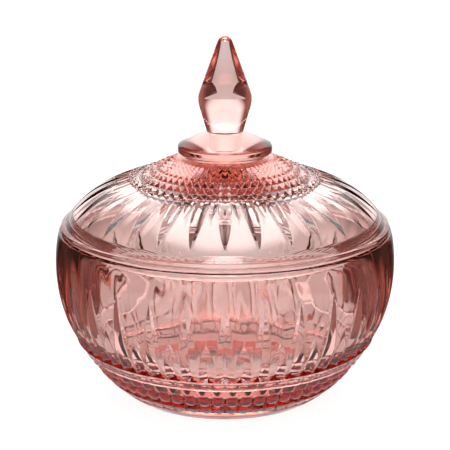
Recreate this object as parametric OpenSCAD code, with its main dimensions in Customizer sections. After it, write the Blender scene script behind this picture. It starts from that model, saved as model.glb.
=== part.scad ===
// Covered candy dish in pink pressed glass.
// The origin is the centre of the foot's underside, +Z points up, and sizes are in millimetres.

/* [Bowl] */
// Widest diameter of the bowl
bowl_d = 158; // [130:1:190]
// Height of the bowl from the foot to the rim
bowl_h = 78; // [65:1:95]
// Height of the bowl's widest level
belly_z = 62; // [50:1:64]
// Diameter of the foot that the bowl stands on
foot_d = 92; // [76:1:112]
// Thickness of the bowl's wall at its rim
wall = 5; // [4:0.5:7]
// Thickness of the glass under the bowl's floor
floor_t = 9; // [6:0.5:14]
// Diameter of the shallow hollow under the foot
hollow_d = 76; // [50:1:80]
// Depth of the shallow hollow under the foot
hollow_depth = 1.2; // [0.6:0.2:2.4]

/* [Lid] */
// Height of the lid from the rim to the seat of the finial
lid_rise = 33.6; // [29:0.2:42]
// Thickness of the lid's shoulder
lid_t = 4.5; // [3.6:0.1:6]
// Thickness of the lid under the finial
crown_t = 12; // [8:0.5:14]
// Slope of the crown beside the finial, in degrees
crown_slope = 22.8; // [18:0.2:24]
// Tilt of the lid's surface normal above level at its edge, in degrees
edge_tilt = 33; // [25:1:40]
// Distance that the lid's edge stands in from the bowl's edge
lid_inset = 1; // [0.2:0.1:2]
// Radius of the round bead along the lid's edge
bead_r = 1.6; // [1.2:0.1:2.2]
// How far the bead stands out of the lid's surface
bead_step = 0.8; // [0.3:0.1:1]
// Height of the ring under the lid that drops inside the bowl
ring_h = 5; // [3:0.5:9]
// Thickness of that ring
ring_t = 3; // [2:0.5:4]
// Clearance between that ring and the bowl
ring_gap = 0.8; // [0.5:0.1:1.5]

/* [Finial] */
// Diameter of the collar
collar_d = 43.6; // [36:0.2:52]
// Thickness of the collar at its edge
collar_h = 5.2; // [4.4:0.2:8]
// Rounding of the collar's edge, above and below
collar_round = 2; // [1:0.1:2.2]
// Slope of the collar's top, in degrees
collar_slope = 24; // [12:1:30]
// How far the low neck under the collar stands in from the collar's edge
neck_inset = 3.3; // [2:0.1:6]
// Height of that neck
neck_h = 1.2; // [0.6:0.1:3]
// Diameter of the spire at its foot
waist_d = 16.8; // [13:0.2:20]
// Widest diameter of the spire
spire_d = 24.6; // [22.4:0.2:30]
// Height of the spire's widest level above its foot
spire_belly = 15; // [13:0.5:20]
// Height of the spire above the collar
spire_h = 43.6; // [38:0.2:55]
// Radius of the round tip of the spire
tip_r = 3.6; // [2:0.2:5]
// Radius that rounds the spire's widest level
belly_round = 11; // [6:0.5:11]

/* [Pattern] */
// Height above the foot of the ring that the bowl's leaves stand on
bowl_ring_z = 27; // [24:1:30]
// Height of the plain band below that ring
bowl_band = 6; // [4:0.5:7]
// Number of rows of points below the band
bowl_rows = 3; // [2:1:4]
// Height of the plain edge of the foot
foot_edge = 4; // [3:0.5:6]
// Radius of the ring on the lid where its leaves begin
lid_ring = 44; // [40:1:50]
// Number of rows of points inside that ring
lid_rows = 3; // [2:1:4]
// Width of each of those rows
lid_row_w = 4.3; // [3:0.1:4.6]
// Depth of the grooves between the rows of points
row_depth = 1; // [0.6:0.1:1.3]

/* [Hidden] */
GLASS = [0.87, 0.50, 0.47, 0.6];
$fn = 240;
STEPS = 20;           // straight pieces along a long curve
ROUND_STEPS = 8;      // straight pieces along a round corner
FULLNESS = 2.6;       // how square the inside of the bowl is: 2 is an ellipse
CROWDING = 1.6;       // how much closer the inside's points lie near the floor
LIP = 0.8;            // rounding of the rim's edges, and of the lid's ring
BAND_EDGE = 1;        // height of the slopes above and below the plain band

// The bowl's outside is an ellipse about its widest level
bowl_a = bowl_d / 2;
bowl_b = belly_z / sqrt(1 - pow(foot_d / bowl_d, 2));
function bowl_r(z) = bowl_a * sqrt(1 - pow((z - belly_z) / bowl_b, 2));
rim_r = bowl_r(bowl_h);

// Its inside is upright below the mouth and runs in to a flat floor in one full curve
mouth_r = rim_r - wall;
function inside_r(z) = mouth_r * pow(1 - pow((belly_z - z) / (belly_z - floor_t), FULLNESS), 1 / FULLNESS);

// Heights of the bowl's rows of points
rows_top_z = bowl_ring_z - bowl_band;
row_h = (rows_top_z - foot_edge) / bowl_rows;

// The lid's outside is a cone under the finial that runs on as an arc down to the bead
lid_r = rim_r - lid_inset;
seat_r = collar_d / 2;
bead_c = [lid_r - bead_r, bead_r];
edge = bead_c + (bead_r - bead_step) * [cos(edge_tilt), sin(edge_tilt)];
crown_n = 90 - crown_slope;
shoulder_r = (lid_rise - edge[1] - (edge[0] - seat_r) * tan(crown_slope))
    / (sin(crown_n) - sin(edge_tilt) - (cos(edge_tilt) - cos(crown_n)) * tan(crown_slope));
shoulder_c = edge - shoulder_r * [cos(edge_tilt), sin(edge_tilt)];
shoulder_top = shoulder_c + shoulder_r * [cos(crown_n), sin(crown_n)];
function lid_z(r) = r > shoulder_top[0]
    ? shoulder_c[1] + sqrt(pow(shoulder_r, 2) - pow(r - shoulder_c[0], 2))
    : shoulder_top[1] + (shoulder_top[0] - r) * tan(crown_slope);
crown_up = [sin(crown_slope), cos(crown_slope)];
ring_r = mouth_r - ring_gap;
flutes_r = lid_ring - lid_rows * lid_row_w;

function polar(c, r, a) = c + r * [cos(a), sin(a)];
function arc(c, r, from, to, n) = [for (i = [0 : n]) polar(c, r, from + (to - from) * i / n)];

module bowl_outline() {
    band_depth = row_depth / 2;
    side = bowl_h - LIP;
    polygon(concat(
        [[0, hollow_depth], [hollow_d / 2, hollow_depth], [hollow_d / 2 + hollow_depth, 0], [foot_d / 2, 0]],
        [for (i = [0 : bowl_rows - 1]) for (middle = [false, true])
            let (z = foot_edge + (middle ? i + 1 / 2 : i) * row_h) [bowl_r(z) - (middle ? 0 : row_depth), z]],
        [[bowl_r(rows_top_z) - row_depth, rows_top_z]],
        [for (z = [rows_top_z + BAND_EDGE, bowl_ring_z - BAND_EDGE]) [bowl_r(z) - band_depth, z]],
        [for (i = [0 : STEPS]) let (z = bowl_ring_z + (side - bowl_ring_z) * i / STEPS) [bowl_r(z), z]],
        [[rim_r - LIP, bowl_h], [mouth_r + LIP, bowl_h], [mouth_r, side], [mouth_r, belly_z]],
        [for (i = [1 : STEPS]) let (z = floor_t + (belly_z - floor_t) * pow(1 - i / STEPS, CROWDING))
            [inside_r(z), z]]
    ));
}

module bowl() {
    color(GLASS) rotate_extrude() bowl_outline();
}

// Outline of the lid, with its rim plane at height 0
module lid_outline() {
    bead_from = acos(1 - bead_step / bead_r);
    bead_top = edge_tilt + asin(bead_r * sin(bead_from) / shoulder_r);
    inner_z = shoulder_c[1] + sqrt(pow(shoulder_r - lid_t, 2) - pow(ring_r - ring_t - shoulder_c[0], 2));
    inner_from = atan2(inner_z - shoulder_c[1], ring_r - ring_t - shoulder_c[0]);
    crown_in = [seat_r + (crown_t - lid_t / cos(crown_slope)) / tan(crown_slope), lid_rise - crown_t];
    polygon(concat(
        [[0, lid_rise], [seat_r, lid_rise]],
        [for (i = [0 : lid_rows - 1]) for (middle = [false, true])
            let (r = flutes_r + (middle ? i + 1 / 2 : i) * lid_row_w)
            [r, lid_z(r)] - (middle ? 0 : row_depth) * crown_up],
        [[lid_ring - row_depth, lid_z(lid_ring - row_depth)], [lid_ring, lid_z(lid_ring)]],
        arc(shoulder_c, shoulder_r, crown_n, bead_top, STEPS),
        arc(bead_c, bead_r, edge_tilt + bead_from, -90, ROUND_STEPS),
        [[ring_r, 0]],
        [[ring_r, LIP - ring_h], [ring_r - LIP, -ring_h], [ring_r - ring_t + LIP, -ring_h]],
        [[ring_r - ring_t, LIP - ring_h]],
        arc(shoulder_c, shoulder_r - lid_t, inner_from, crown_n, STEPS),
        [crown_in, [0, crown_in[1]]]
    ));
}

module lid() {
    color(GLASS) translate([0, 0, bowl_h]) rotate_extrude() lid_outline();
}

// Outline of the finial, standing on its seat at height 0. The collar's top slopes up to the spire's
// foot. The spire's sides are tangents: one from its foot to the round belly, and one from the
// belly to the round tip.
module finial_outline() {
    neck_r = collar_d / 2 - neck_inset;
    corner_r = collar_d / 2 - collar_round;
    under_c = [corner_r, neck_h + collar_round];
    over_c = [corner_r, neck_h + collar_h - collar_round];
    slope_from = polar(over_c, collar_round, 90 - collar_slope);
    waist_r = waist_d / 2;
    foot = [waist_r, slope_from[1] + (slope_from[0] - waist_r) * tan(collar_slope)];
    belly_c = [spire_d / 2 - belly_round, foot[1] + spire_belly];
    tip_c = [0, foot[1] + spire_h - tip_r];
    to_foot = foot - belly_c;
    to_tip = tip_c - belly_c;
    low = atan2(to_foot[1], to_foot[0]) + acos(belly_round / norm(to_foot));
    high = atan2(to_tip[1], to_tip[0]) - acos((belly_round - tip_r) / norm(to_tip));
    polygon(concat(
        [[0, 0], [neck_r, 0], [neck_r, neck_h]],
        arc(under_c, collar_round, -90, 0, ROUND_STEPS),
        arc(over_c, collar_round, 0, 90 - collar_slope, ROUND_STEPS),
        [foot],
        arc(belly_c, belly_round, low, high, ROUND_STEPS),
        arc(tip_c, tip_r, high, 90, ROUND_STEPS)
    ));
}

module finial() {
    color(GLASS) translate([0, 0, bowl_h + lid_rise]) rotate_extrude() finial_outline();
}

bowl();
lid();
finial();
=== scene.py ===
"""A covered candy dish in pink pressed glass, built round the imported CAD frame."""
import math

import bpy
import numpy as np
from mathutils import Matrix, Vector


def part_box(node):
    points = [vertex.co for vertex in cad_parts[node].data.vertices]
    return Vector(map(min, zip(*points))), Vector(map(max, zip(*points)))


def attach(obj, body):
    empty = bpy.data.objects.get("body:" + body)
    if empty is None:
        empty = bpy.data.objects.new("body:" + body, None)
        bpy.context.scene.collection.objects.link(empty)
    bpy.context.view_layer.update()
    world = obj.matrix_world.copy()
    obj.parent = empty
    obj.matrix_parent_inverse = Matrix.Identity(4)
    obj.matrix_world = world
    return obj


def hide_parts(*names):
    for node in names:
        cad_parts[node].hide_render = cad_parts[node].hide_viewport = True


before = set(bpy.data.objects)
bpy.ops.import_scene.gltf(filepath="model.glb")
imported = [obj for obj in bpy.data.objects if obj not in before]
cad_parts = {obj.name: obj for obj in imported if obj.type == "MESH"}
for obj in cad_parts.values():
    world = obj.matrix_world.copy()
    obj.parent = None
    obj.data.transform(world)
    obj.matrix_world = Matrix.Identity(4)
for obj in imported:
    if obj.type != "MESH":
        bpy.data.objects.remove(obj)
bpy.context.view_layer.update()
MM = 0.001


# ---------------------------------------------------------------- sizes, in millimetres
def extent(node):
    """Outer radius, lowest height and highest height of a CAD node."""
    low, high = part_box(node)
    return high.x / MM, low.z / MM, high.z / MM


BOWL_R, _, BOWL_H = extent("bowl")
LID_R, LID_LOW, SEAT_Z = extent("lid")
COLLAR_R, _, TOP_Z = extent("finial")

LEAVES = 30  # long leaves, with a short one between each two
FRONT = -math.pi / 2  # a long leaf faces -Y
STEPS = 6  # grid lines from a leaf's crease to the ridge beside it

BELLY_Z = BOWL_H - 16
FOOT_R = 46.0
WALL = 5.0
FLOOR_T = 9.0
HOLLOW_R = 38.0
HOLLOW_DEPTH = 1.2
FULLNESS = 2.6
LIP = 0.8

ROWS = 3
ROW_DEPTH = 2.0
LID_ROW_DEPTH = 0.7 * ROW_DEPTH
ROW_W = 4.3  # width of each row on the lid
FOOT_EDGE = 4.0
RING_Z = 27.0
ROWS_TOP = RING_Z - 6.0
ROW_H = (ROWS_TOP - FOOT_EDGE) / ROWS
LONG_TIP_Z = BOWL_H - 13.5
SHORT_TIP_Z = BOWL_H - 31.0
BOWL_LEAF_W = 4.7
BOWL_FLANK = 2.2

LID_T = 4.5
CROWN_T = 12.0
CROWN_SLOPE = math.radians(22.8)
EDGE_TILT = math.radians(33)
BEAD_R = 1.6
BEAD_STEP = 0.8
RING_GAP = 0.8
RING_T = 3.0
LID_RING = 44.0
LID_ROWS = [LID_RING - ROW_W * n for n in (3, 2, 1, 0)]
LONG_TIP_R = 70.6
SHORT_TIP_R = 57.5
LID_LEAF_W = 3.1
LID_FLANK = 1.6

NECK_R = COLLAR_R - 3.3
NECK_H = 1.2
COLLAR_H = 5.2
COLLAR_ROUND = 2.0
COLLAR_SLOPE = math.radians(24)
WAIST_R = 8.4
SPIRE_R = 12.3
SPIRE_BELLY = 15.0
BELLY_ROUND = 11.0
TIP_R = 3.6
SEAT_GAP = 0.02  # the finial stands this far above its seat, and the lid stops SEAT_SUNK below it,
SEAT_SUNK = 0.05  # so that the two glass faces never coincide
AROUND = 128  # points round the finial


# ---------------------------------------------------------------- meshes
def closed_mesh(name, rings):
    """A closed solid from rings of (radii, angles, heights). The first and last rings are on the axis."""
    r, theta, z = (np.array(part) for part in zip(*rings))
    around = r.shape[1]
    co = np.stack([r * np.cos(theta), r * np.sin(theta), z], axis=-1) * MM
    inner = co[1:-1].reshape(-1, 3)
    ends = co[[0, -1], 0] * (0, 0, 1)
    first, last = len(inner), len(inner) + 1
    i = np.arange(len(rings) - 3)[:, None] * around
    j = np.arange(around)[None, :]
    k = (j + 1) % around
    faces = np.stack([i + j, i + k, i + around + k, i + around + j], axis=-1).reshape(-1, 4).tolist()
    top = (len(rings) - 3) * around
    faces += [(first, (n + 1) % around, n) for n in range(around)]
    faces += [(last, top + n, top + (n + 1) % around) for n in range(around)]
    mesh = bpy.data.meshes.new(name)
    mesh.from_pydata(np.concatenate([inner, ends]).tolist(), [], faces)
    mesh.polygons.foreach_set("use_smooth", [True] * len(mesh.polygons))
    mesh.set_sharp_from_angle(angle=math.radians(50))
    mesh.update()
    piece = bpy.data.objects.new(name, mesh)
    bpy.context.scene.collection.objects.link(piece)
    return piece


def spaced(start, end, count, power=1.0):
    """count numbers from start, short of end, closer together near the end if power is over 1."""
    t = np.arange(count) / count
    return start + (end - start) * (1 - (1 - t) ** power)


# ---------------------------------------------------------------- the pattern
def even_steps(edge, ridge):
    return ridge * np.arange(STEPS) / STEPS


def leaf_steps(edge, ridge):
    """Grid lines close together at the crease, at the leaf's edge and at the ridge, to keep these crisp."""
    edge = min(max(edge, 0.15 * ridge), 0.88 * ridge)
    return np.concatenate([edge * np.array([0, 0.12, 0.88]), edge + (ridge - edge) * np.array([0, 0.2, 0.8])])


def pattern_ring(radius, long_w, short_w, steps):
    """One ring of grid points: its angles, each point's distance from its leaf's crease, that distance as
    a share of the way to the ridge, and the half width of the leaf that it is on."""
    pitch = math.pi * radius / LEAVES
    ridge = (pitch + long_w - short_w) / 2
    angles, away, share, width = [], [], [], []
    for column in range(2 * LEAVES):
        own, reach = (long_w, ridge) if column % 2 == 0 else (short_w, pitch - ridge)
        half = steps(own, reach)
        x = np.concatenate([[-reach], -half[:0:-1], half])
        angles.append(FRONT + column * math.pi / LEAVES + x / radius)
        away.append(np.abs(x))
        share.append(np.abs(x) / reach)
        width.append(np.full(len(x), own))
    return tuple(np.concatenate(part) for part in (angles, away, share, width))


def tapered(way, most, power):
    """Half width of a leaf that is 0 at its tip and most at its root. way is 0 at the tip."""
    return most * (1 - (1 - min(max(way, 0), 1)) ** power)


def pyramids(place, level):
    """Square points: 0 at each peak, on the ridges half way up the row, and 1 in the grooves."""
    return np.maximum(np.abs(2 * level - 1), 1 - place)


def buds(place, level):
    """Round buds, on the same places."""
    away = (1 - place) ** 2 + (2 * level - 1) ** 2
    return 1 - np.sqrt(np.clip(1 - away, 0, 1))


def scallops(place, level):
    """Petal tips that hang from the row's top, with pointed teeth of plain glass between them."""
    reach = 0.25 + 0.7 * (1 - np.sqrt(np.clip(1 - (1 - place) ** 2, 0, 1)))
    return np.clip((reach - level) / 0.12, 0, 1) * 0.9


# ---------------------------------------------------------------- bowl
BOWL_B = BELLY_Z / math.sqrt(1 - (FOOT_R / BOWL_R) ** 2)


def bowl_r(z):
    return BOWL_R * math.sqrt(1 - ((z - BELLY_Z) / BOWL_B) ** 2)


def bowl_normal(z):
    n = (bowl_r(z) / BOWL_R**2, (z - BELLY_Z) / BOWL_B**2)
    length = math.hypot(*n)
    return n[0] / length, n[1] / length


RIM_R = bowl_r(BOWL_H)
MOUTH_R = RIM_R - WALL


def inside_r(z):
    return MOUTH_R * (1 - ((BELLY_Z - z) / (BELLY_Z - FLOOR_T)) ** FULLNESS) ** (1 / FULLNESS)


def bowl_ring(z):
    """A ring of the bowl's outside, with the pattern pressed into it."""
    if z > RING_Z:
        long_w = tapered((LONG_TIP_Z - z) / (LONG_TIP_Z - RING_Z), BOWL_LEAF_W, 1.9)
        short_w = tapered((SHORT_TIP_Z - z) / (SHORT_TIP_Z - RING_Z), BOWL_LEAF_W, 2.1)
        angle, away, share, width = pattern_ring(bowl_r(z), long_w, short_w, leaf_steps)
        end = min(1.0, (z - RING_Z) / 0.7)
        deep = end * np.clip(width - away, 0, None) / BOWL_FLANK
    else:
        angle, away, share, width = pattern_ring(bowl_r(z), 1, 1, even_steps)
        deep = bowl_rows(z, share)
    n = bowl_normal(z)
    return bowl_r(z) - deep * n[0], angle, z - deep * n[1]


def bowl_rows(z, share):
    """Depth of the plain band and of the rows of points below the leaves."""
    if z <= FOOT_EDGE:
        return 0 * share
    if z > ROWS_TOP:
        edge = min(1.0, (RING_Z - z) / 1.1, (z - ROWS_TOP) / 1.1)
        return edge * (0.75 + 0.35 * np.clip(1 - share / 0.25, 0, 1))
    number = min(ROWS - 1, int((z - FOOT_EDGE) / ROW_H))
    level = (z - FOOT_EDGE) / ROW_H - number
    return ROW_DEPTH * (scallops, buds, pyramids)[number](share, level)


def bowl_heights():
    levels = [spaced(0.4, FOOT_EDGE, 4)]
    for number in range(ROWS):
        levels.append(spaced(FOOT_EDGE + number * ROW_H, FOOT_EDGE + (number + 1) * ROW_H, 7))
    levels.append(np.array([ROWS_TOP, ROWS_TOP + 0.5, ROWS_TOP + 1.1, ROWS_TOP + 2.5]))
    levels.append(np.array([RING_Z - 2.5, RING_Z - 1.1, RING_Z - 0.5, RING_Z, RING_Z + 0.35, RING_Z + 0.7]))
    levels.append(spaced(RING_Z + 1.6, SHORT_TIP_Z, 12, 1.4))
    levels.append(spaced(SHORT_TIP_Z, LONG_TIP_Z, 12, 1.4))
    levels.append(spaced(LONG_TIP_Z, BOWL_H - 0.9, 6))
    return np.concatenate(levels)


PLAIN = pattern_ring(1, 0, 0, even_steps)[0]


def plain_ring(r, z):
    return np.full(PLAIN.shape, r), PLAIN, np.full(PLAIN.shape, z)


def ripple(seed, waves, depth):
    """A smooth uneven surface, as a function of angle and of height."""
    random = np.random.default_rng(seed)
    turns = random.integers(9, 60, waves)
    along = random.uniform(0.03, 0.2, waves)
    phase = random.uniform(0, 2 * math.pi, waves)

    def height(theta, s):
        total = sum(np.sin(k * theta + a * s + p) for k, a, p in zip(turns, along, phase))
        return depth * total / math.sqrt(waves)

    return height


def uneven_ring(r, z, uneven, fade=1.0):
    """A plain ring of the inside, moved in and out a little by the uneven surface."""
    return r + fade * uneven(PLAIN, z), PLAIN, np.full(PLAIN.shape, z)


def make_bowl():
    rings = [plain_ring(r, HOLLOW_DEPTH) for r in (0.0, 12.0, 26.0, HOLLOW_R - 0.8, HOLLOW_R)]
    rings.append(plain_ring(HOLLOW_R + HOLLOW_DEPTH * 0.7, HOLLOW_DEPTH * 0.3))
    rings.append(plain_ring(HOLLOW_R + HOLLOW_DEPTH * 1.2, 0.0))
    rings.append(plain_ring(FOOT_R - 1.2, 0.0))
    rings.append(plain_ring(FOOT_R - 0.3, 0.1))
    rings += [bowl_ring(z) for z in bowl_heights()]
    for a in np.radians((10, 40, 70, 90)):
        rings.append(plain_ring(RIM_R - LIP * (1 - math.cos(a)), BOWL_H - LIP * (1 - math.sin(a))))
    for a in np.radians((90, 60, 30, 0)):
        rings.append(plain_ring(MOUTH_R + LIP * (1 - math.cos(a)), BOWL_H - LIP * (1 - math.sin(a))))
    uneven = ripple(3, 24, 0.06)
    for z in spaced(BOWL_H - 3, BELLY_Z, 8):
        rings.append(uneven_ring(MOUTH_R, z, uneven, min(1, (BOWL_H - z) / 8)))
    for t in np.linspace(0, 1, 39)[:-1]:
        z = FLOOR_T + (BELLY_Z - FLOOR_T) * (1 - t) ** 1.7
        rings.append(uneven_ring(inside_r(z), z, uneven, min(1, (z - FLOOR_T) / 4)))
    rings += [plain_ring(r, FLOOR_T) for r in (24.0, 14.0, 6.0, 0.0)]
    return closed_mesh("bowl_glass", rings)


# ---------------------------------------------------------------- lid
LID_RISE = SEAT_Z - BOWL_H
CROWN = math.pi / 2 - CROWN_SLOPE
BEAD = (LID_R - BEAD_R, BEAD_R)
EDGE = (
    BEAD[0] + (BEAD_R - BEAD_STEP) * math.cos(EDGE_TILT),
    BEAD[1] + (BEAD_R - BEAD_STEP) * math.sin(EDGE_TILT),
)
SHOULDER_R = (LID_RISE - EDGE[1] - (EDGE[0] - COLLAR_R) * math.tan(CROWN_SLOPE)) / (
    math.sin(CROWN) - math.sin(EDGE_TILT)
    - (math.cos(EDGE_TILT) - math.cos(CROWN)) * math.tan(CROWN_SLOPE)
)
CENTRE = (EDGE[0] - SHOULDER_R * math.cos(EDGE_TILT), EDGE[1] - SHOULDER_R * math.sin(EDGE_TILT))
SHOULDER = (CENTRE[0] + SHOULDER_R * math.cos(CROWN), CENTRE[1] + SHOULDER_R * math.sin(CROWN))


def lid_z(r):
    if r > SHOULDER[0]:
        return CENTRE[1] + math.sqrt(SHOULDER_R**2 - (r - CENTRE[0]) ** 2)
    return SHOULDER[1] + (SHOULDER[0] - r) * math.tan(CROWN_SLOPE)


def lid_normal(r):
    if r > SHOULDER[0]:
        return (r - CENTRE[0]) / SHOULDER_R, (lid_z(r) - CENTRE[1]) / SHOULDER_R
    return math.sin(CROWN_SLOPE), math.cos(CROWN_SLOPE)


def lid_run(r):
    """Length of the lid's outline from the ring where its leaves begin."""
    if r <= SHOULDER[0]:
        return (r - LID_RING) / math.cos(CROWN_SLOPE)
    turn = CROWN - math.acos((r - CENTRE[0]) / SHOULDER_R)
    return (SHOULDER[0] - LID_RING) / math.cos(CROWN_SLOPE) + SHOULDER_R * turn


def lid_ring(r):
    """A ring of the lid's outside, with the pattern pressed into it."""
    if r > LID_RING:
        full = 0.35
        way = lid_run(r) / lid_run(LONG_TIP_R)
        long_w = LID_LEAF_W * (1 - min(1, max(0, (way - full) / (1 - full))) ** 2.2)
        short_w = 0.9 * LID_LEAF_W * (1 - min(1, lid_run(r) / lid_run(SHORT_TIP_R)) ** 2)
        angle, away, share, width = pattern_ring(r, long_w, short_w, leaf_steps)
        end = min(1.0, (r - LID_RING) / 0.7)
        deep = end * np.clip(width - away, 0, None) / LID_FLANK
    else:
        angle, away, share, width = pattern_ring(r, 1, 1, even_steps)
        deep = lid_rows(r, share)
    n = lid_normal(r)
    return r - deep * n[0], angle, BOWL_H + lid_z(r) - deep * n[1]


def lid_rows(r, share):
    """Depth of the rows of points, and of the flutes between them and the finial."""
    if r <= LID_ROWS[0]:
        return (0.5 + 0.6 * (r - COLLAR_R) / (LID_ROWS[0] - COLLAR_R)) * (1 - share)
    number = min(ROWS - 1, int((r - LID_ROWS[0]) / ROW_W))
    low, high = LID_ROWS[number : number + 2]
    return LID_ROW_DEPTH * pyramids(share, (r - low) / (high - low))


def lid_radii():
    levels = [spaced(LID_RING + 0.7, LONG_TIP_R, 30, 1.3)[::-1]]
    levels.append(np.array([LID_RING + 0.35, LID_RING]))
    for number in (2, 1, 0):
        low, high = LID_ROWS[number : number + 2]
        levels.append(spaced(high, low, 8)[1:])
        levels.append(np.array([low]))
    levels.append(spaced(LID_ROWS[0], COLLAR_R + 0.5, 8)[1:])
    return np.concatenate(levels)


def make_lid():
    ring_out = MOUTH_R - RING_GAP
    ring_in = ring_out - RING_T
    low = LID_LOW - BOWL_H
    in_r = SHOULDER_R - LID_T
    in_crown = LID_RISE - CROWN_T
    in_flat = COLLAR_R + (CROWN_T - LID_T / math.cos(CROWN_SLOPE)) / math.tan(CROWN_SLOPE)
    start = math.acos((ring_in - CENTRE[0]) / in_r)
    outline = [(in_flat * t, in_crown) for t in (0, 0.25, 0.5, 0.75, 0.95)]
    for r in spaced(in_flat + 0.8, CENTRE[0] + in_r * math.cos(CROWN), 6):
        outline.append((r, in_crown - (r - in_flat) * math.tan(CROWN_SLOPE)))
    for a in spaced(CROWN, start, 14):
        outline.append((CENTRE[0] + in_r * math.cos(a), CENTRE[1] + in_r * math.sin(a)))
    outline += [(ring_in, z) for z in (CENTRE[1] + in_r * math.sin(start), 0.0, low + 1.5)]
    for a in np.radians((-150, -120, -90, -60, -30)):
        r = (ring_in + ring_out + RING_T * math.cos(a)) / 2
        outline.append((r, low + RING_T / 2 * (1 + math.sin(a))))
    outline += [(ring_out, low + 1.5), (ring_out, -0.3), (ring_out + 0.3, 0.02)]
    for a in np.radians(np.linspace(-90, math.degrees(EDGE_TILT) + 50, 12)):
        outline.append((BEAD[0] + BEAD_R * math.cos(a), BEAD[1] + BEAD_R * math.sin(a)))
    bead_end = EDGE_TILT + BEAD_R * 0.95 / SHOULDER_R
    tip = math.acos((LONG_TIP_R - CENTRE[0]) / SHOULDER_R)
    for a in spaced(bead_end, tip, 6):
        outline.append((CENTRE[0] + SHOULDER_R * math.cos(a), CENTRE[1] + SHOULDER_R * math.sin(a)))
    rings = [plain_ring(r, BOWL_H + z) for r, z in outline]
    rings += [lid_ring(r) for r in lid_radii()]
    rings += [plain_ring(r, SEAT_Z - SEAT_SUNK) for r in (COLLAR_R, COLLAR_R * 0.6, 0.0)]
    return closed_mesh("lid_glass", rings)


# ---------------------------------------------------------------- finial
def make_finial():
    """The collar on its low neck, and the spire, as one solid of revolution."""
    profile = [(0.0, 0.0), (6.0, 0.0), (12.0, 0.0), (NECK_R, 0.0), (NECK_R, NECK_H)]

    def line(start, end, parts):
        profile.extend(tuple(p + (q - p) * t for p, q in zip(start, end)) for t in parts)

    def arc(centre, radius, angles):
        profile.extend((centre[0] + radius * math.cos(a), centre[1] + radius * math.sin(a)) for a in angles)

    corner_r = COLLAR_R - COLLAR_ROUND
    arc((corner_r, NECK_H + COLLAR_ROUND), COLLAR_ROUND, np.radians(np.linspace(-90, 0, 9)))
    over = (corner_r, NECK_H + COLLAR_H - COLLAR_ROUND)
    arc(over, COLLAR_ROUND, np.linspace(0, math.pi / 2 - COLLAR_SLOPE, 9))
    out_r, out_z = profile[-1]
    foot = (WAIST_R, out_z + (out_r - WAIST_R) * math.tan(COLLAR_SLOPE))
    line(profile[-1], foot, (0.3, 0.7, 1.0))
    belly = (SPIRE_R - BELLY_ROUND, foot[1] + SPIRE_BELLY)
    tip = (0.0, TOP_Z - SEAT_Z - TIP_R)
    down = (foot[0] - belly[0], foot[1] - belly[1])
    up = (tip[0] - belly[0], tip[1] - belly[1])
    first = math.atan2(down[1], down[0]) + math.acos(BELLY_ROUND / math.hypot(*down))
    last = math.atan2(up[1], up[0]) - math.acos((BELLY_ROUND - TIP_R) / math.hypot(*up))
    start = (belly[0] + BELLY_ROUND * math.cos(first), belly[1] + BELLY_ROUND * math.sin(first))
    line(foot, start, (0.1, 0.4, 0.7))
    arc(belly, BELLY_ROUND, np.linspace(first, last, 20))
    begin = (TIP_R * math.cos(last), tip[1] + TIP_R * math.sin(last))
    line(profile[-1], begin, (0.25, 0.5, 0.75))
    arc(tip, TIP_R, np.linspace(last, math.pi / 2, 12))
    theta = np.arange(AROUND) * 2 * math.pi / AROUND
    base = SEAT_Z + SEAT_GAP
    rings = [(np.full(AROUND, r), theta, np.full(AROUND, base + z)) for r, z in profile]
    return closed_mesh("finial_glass", rings)


# ---------------------------------------------------------------- glass
PINK = (0.86, 0.14, 0.0)


def glass(name, density, haze, bump):
    """Pressed pink glass: clear, tinted by the depth that light travels, with a faint ripple and haze."""
    mat = bpy.data.materials.new(name)
    mat.use_nodes = True
    nt = mat.node_tree
    nt.nodes.clear()
    out = nt.nodes.new("ShaderNodeOutputMaterial")
    shader = nt.nodes.new("ShaderNodeBsdfPrincipled")
    shader.inputs["Base Color"].default_value = (1, 1, 1, 1)
    shader.inputs["Transmission Weight"].default_value = 1.0
    shader.inputs["IOR"].default_value = 1.5
    depth = nt.nodes.new("ShaderNodeVolumeAbsorption")
    depth.inputs["Color"].default_value = (*PINK, 1)
    depth.inputs["Density"].default_value = density
    nt.links.new(shader.outputs[0], out.inputs["Surface"])
    nt.links.new(depth.outputs[0], out.inputs["Volume"])
    coords = nt.nodes.new("ShaderNodeTexCoord")
    ripple = nt.nodes.new("ShaderNodeTexNoise")
    ripple.inputs["Scale"].default_value = 60
    ripple.inputs["Detail"].default_value = 1
    lift = nt.nodes.new("ShaderNodeBump")
    lift.inputs["Strength"].default_value = bump
    lift.inputs["Distance"].default_value = 0.001
    nt.links.new(coords.outputs["Object"], ripple.inputs["Vector"])
    nt.links.new(ripple.outputs["Fac"], lift.inputs["Height"])
    nt.links.new(lift.outputs["Normal"], shader.inputs["Normal"])
    wear = nt.nodes.new("ShaderNodeTexNoise")
    wear.inputs["Scale"].default_value = 140
    wear.inputs["Detail"].default_value = 3
    dull = nt.nodes.new("ShaderNodeMapRange")
    dull.inputs["From Min"].default_value = 0.35
    dull.inputs["From Max"].default_value = 0.65
    dull.inputs["To Max"].default_value = haze
    nt.links.new(coords.outputs["Object"], wear.inputs["Vector"])
    nt.links.new(wear.outputs["Fac"], dull.inputs["Value"])
    nt.links.new(dull.outputs["Result"], shader.inputs["Roughness"])
    return mat


for make, node, body, slot, density, haze, bump in (
    (make_bowl, "bowl", "bowl", "bowl_glass", 50, 0.07, 0.03),
    (make_lid, "lid", "lid", "lid_glass", 34, 0.04, 0.02),
    (make_finial, "finial", "lid", "finial_glass", 22, 0.02, 0.02),
):
    piece = make()
    piece.data.materials.append(glass(piece.name, density, haze, bump))
    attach(piece, body)
    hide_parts(node)


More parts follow.
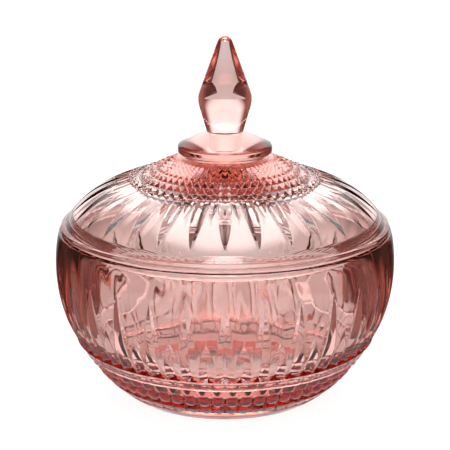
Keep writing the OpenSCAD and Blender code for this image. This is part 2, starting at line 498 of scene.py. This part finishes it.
# ---------------------------------------------------------------- stage
# The lit table's outline is (y, half width) from front to back, in metres
TABLE_GLOW = 0.53
FRONT_GLOW = 1.0
TABLE_FRONT = ((-0.40, 0.40), (-0.12, 0.30), (-0.03, 0.15))
TABLE = (
    (-0.03, 0.15), (0.0, 0.10), (0.16, 0.09), (0.28, 0.08),
    (0.44, 0.085), (0.70, 0.50), (0.9, 0.7),
)
DIM = (0.32, 0.11, 0.085)
DARK = (0.07, 0.02, 0.015)
BACK = (1.3, 1.3, 1.3)
OVERHEAD = (6.0, 6.0, 6.0)
FRONT_HIGH = (10.0, 10.0, 10.0)
FRONT_LOW = (0.9, 0.9, 0.9)
# The studio's soft areas, each over the one before: degrees up from straight behind, the degrees from
# its middle where it ends and where it is full, and its brightness. The rest of the room is DIM.
AREAS = (
    (-30, 50, 30, DARK),
    (18, 42, 24, BACK),
    (82, 33, 18, OVERHEAD),
    (130, 15, 10, FRONT_HIGH),
    (180, 35, 20, FRONT_LOW),
)



def glowing_plane(name, outline, glow, grey):
    """A flat pale surface on the ground, lit from within.

    Its outline is (y, half width) from front to back, in metres.
    """
    corners = [(x, y, 0) for y, x in outline] + [(-x, y, 0) for y, x in reversed(outline)]
    mesh = bpy.data.meshes.new(name)
    mesh.from_pydata(corners, [], [tuple(range(len(corners)))])
    mat = bpy.data.materials.new(name)
    mat.use_nodes = True
    shader = mat.node_tree.nodes["Principled BSDF"]
    shader.inputs["Base Color"].default_value = (grey, grey, grey, 1)
    shader.inputs["Roughness"].default_value = 0.7
    shader.inputs["Emission Color"].default_value = (1, 1, 1, 1)
    shader.inputs["Emission Strength"].default_value = glow
    mesh.materials.append(mat)
    plane = bpy.data.objects.new(name, mesh)
    bpy.context.scene.collection.objects.link(plane)
    return plane


def stage():
    """The pale floor, and the narrower lit table that the glass itself sees."""
    floor = glowing_plane("floor", ((-4, 4), (4, 4)), 0.93, 0.1)
    floor.visible_transmission = False
    floor.visible_glossy = False
    floor.visible_diffuse = False
    for name, outline, glow in (("table", TABLE, TABLE_GLOW), ("table_front", TABLE_FRONT, FRONT_GLOW)):
        table = glowing_plane(name, outline, glow, 0.1)
        table.location.z = -0.0005
        table.visible_camera = False
        table.visible_shadow = False


def studio():
    """A dark room with soft lights overhead, in front and behind. The camera itself sees it as pale."""
    world = bpy.data.worlds.new("studio")
    bpy.context.scene.world = world
    world.use_nodes = True
    nodes, links = world.node_tree.nodes, world.node_tree.links
    toward = nodes.new("ShaderNodeTexCoord").outputs["Generated"]
    light = None
    for tilt, dim, full, colour in AREAS:
        aim = nodes.new("ShaderNodeVectorMath")
        aim.operation = "DOT_PRODUCT"
        aim.inputs[1].default_value = (0, math.cos(math.radians(tilt)), math.sin(math.radians(tilt)))
        spread = nodes.new("ShaderNodeMapRange")
        spread.interpolation_type = "SMOOTHSTEP"
        spread.inputs["From Min"].default_value = math.cos(math.radians(dim))
        spread.inputs["From Max"].default_value = math.cos(math.radians(full))
        mix = nodes.new("ShaderNodeMix")
        mix.data_type = "RGBA"
        mix.inputs[6].default_value = (*DIM, 1)
        mix.inputs[7].default_value = (*colour, 1)
        links.new(toward, aim.inputs[0])
        links.new(aim.outputs["Value"], spread.inputs["Value"])
        links.new(spread.outputs["Result"], mix.inputs["Factor"])
        if light:
            links.new(light, mix.inputs[6])
        light = mix.outputs[2]
    pick = nodes.new("ShaderNodeMix")
    pick.data_type = "RGBA"
    pick.inputs[7].default_value = (1, 1, 1, 1)
    links.new(nodes.new("ShaderNodeLightPath").outputs["Is Camera Ray"], pick.inputs["Factor"])
    links.new(light, pick.inputs[6])
    links.new(pick.outputs[2], nodes["Background"].inputs["Color"])


def camera():
    """The photograph's view: 671 mm in front of the axis, 265 mm up, pitched 15.5 degrees down."""
    lens = bpy.data.cameras.new("camera")
    lens.sensor_width = 36
    lens.lens = 119.4
    view = bpy.data.objects.new("camera", lens)
    view.location = (0, -0.671, 0.265)
    view.rotation_euler = (math.radians(90 - 15.54), 0, 0)
    bpy.context.scene.collection.objects.link(view)
    bpy.context.scene.camera = view


stage()
studio()
camera()
bpy.context.scene.view_settings.view_transform = "Standard"
bpy.context.scene.cycles.max_bounces = 32
bpy.context.scene.cycles.transmission_bounces = 32
